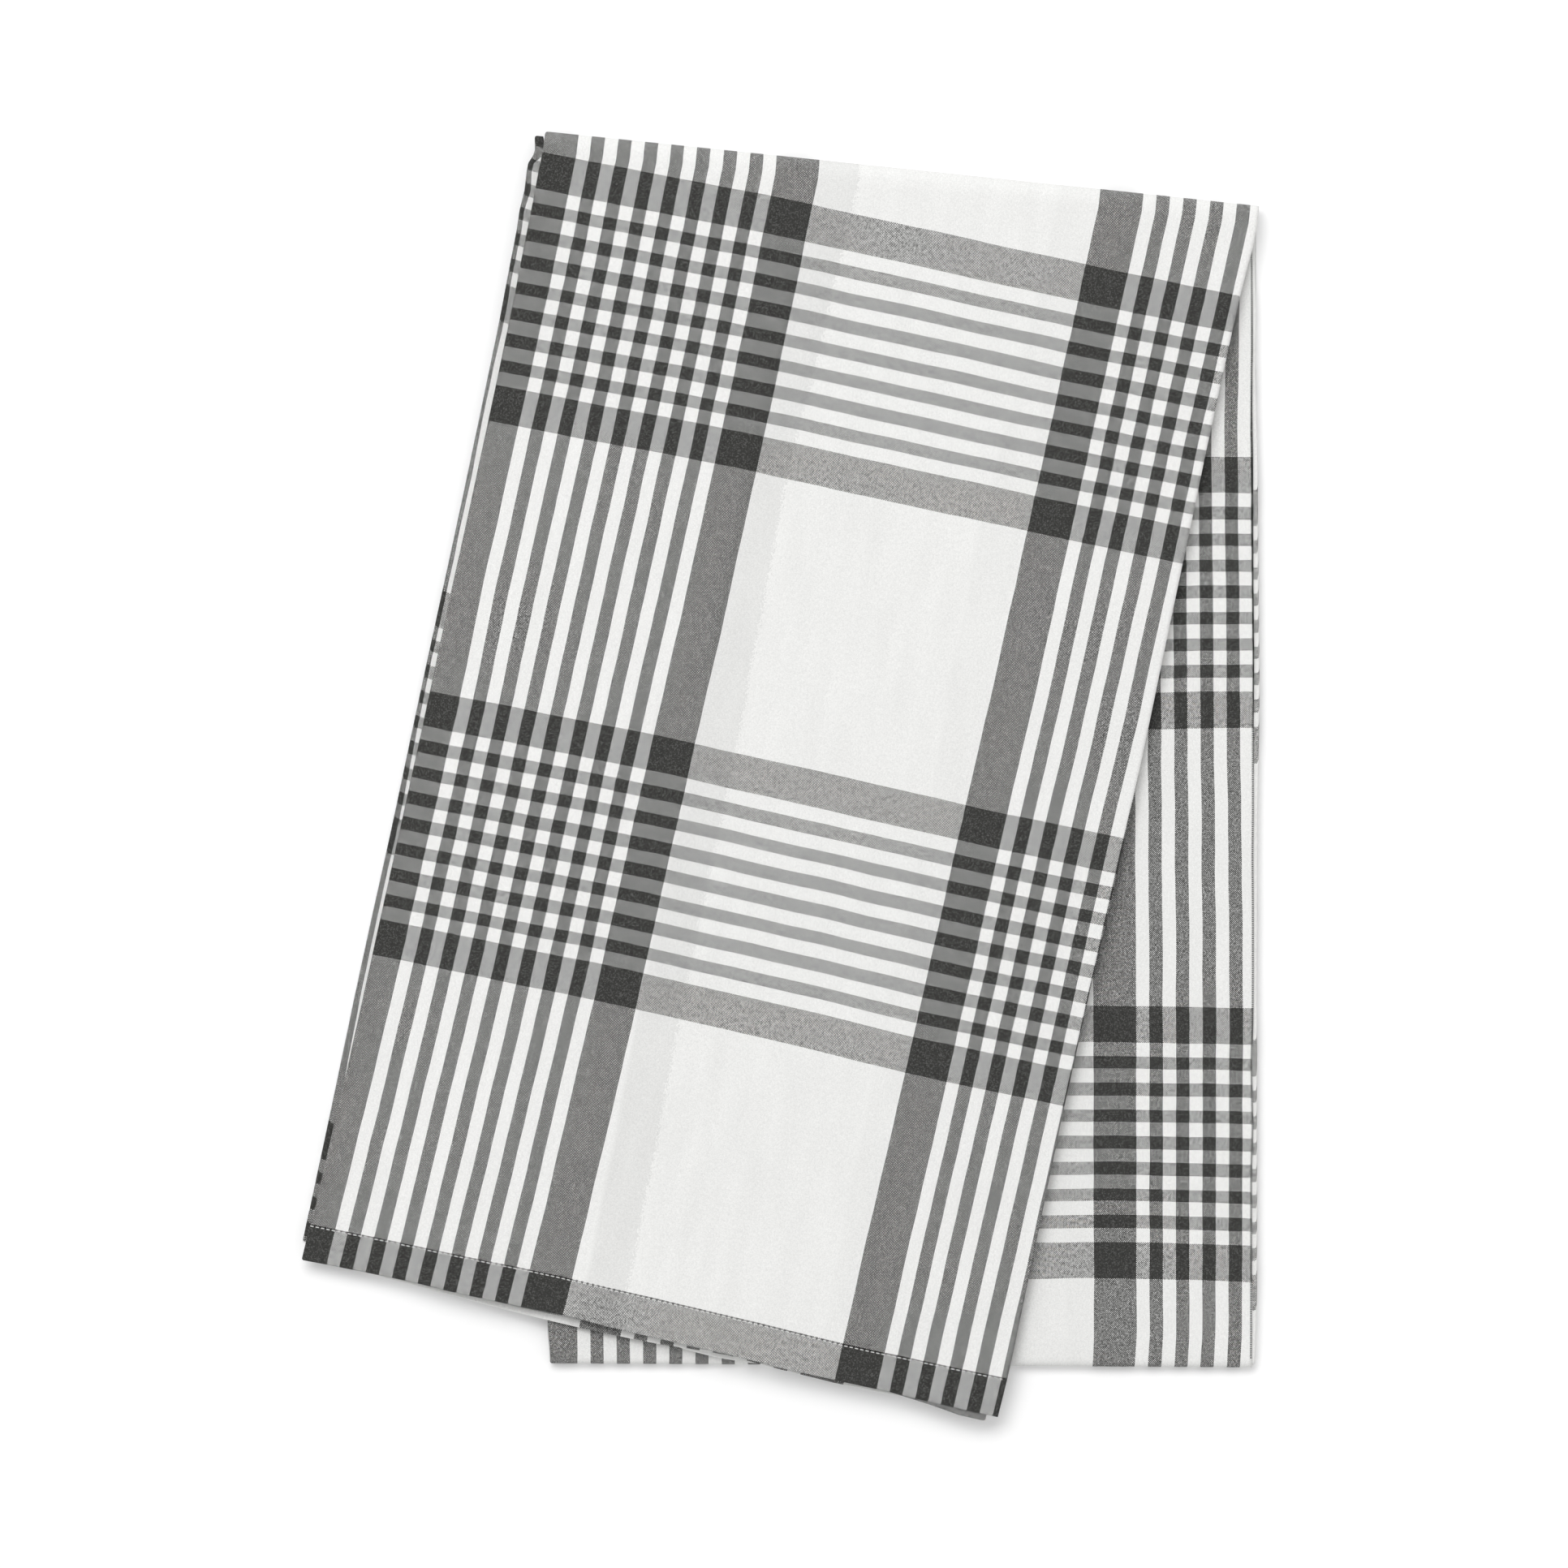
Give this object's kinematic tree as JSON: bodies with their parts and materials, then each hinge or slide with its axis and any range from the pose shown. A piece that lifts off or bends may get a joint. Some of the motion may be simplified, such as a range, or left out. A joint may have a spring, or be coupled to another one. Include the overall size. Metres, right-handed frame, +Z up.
{
  "type": "tablecloth",
  "caption": "Woven checked tablecloth folded to and fro into a long strip, doubled crosswise and folded over once more on a slanted line, lying flat with its stitched hem on top.",
  "frame": {"origin": "middle of the folded cloth's outline seen from above, on the surface that it lies on", "axes": "+Z up from the surface, +Y along the straight lower half towards the slanted fold-over, +X to the right of that"},
  "size_m": [0.4934, 0.6616, 0.0205],
  "materials": {
    "woven_cloth": "matt plain weave in off-white with charcoal stripe bands both ways"
  },
  "bodies": {
    "root": {"tablecloth": "woven_cloth"}
  },
  "joints": []
}
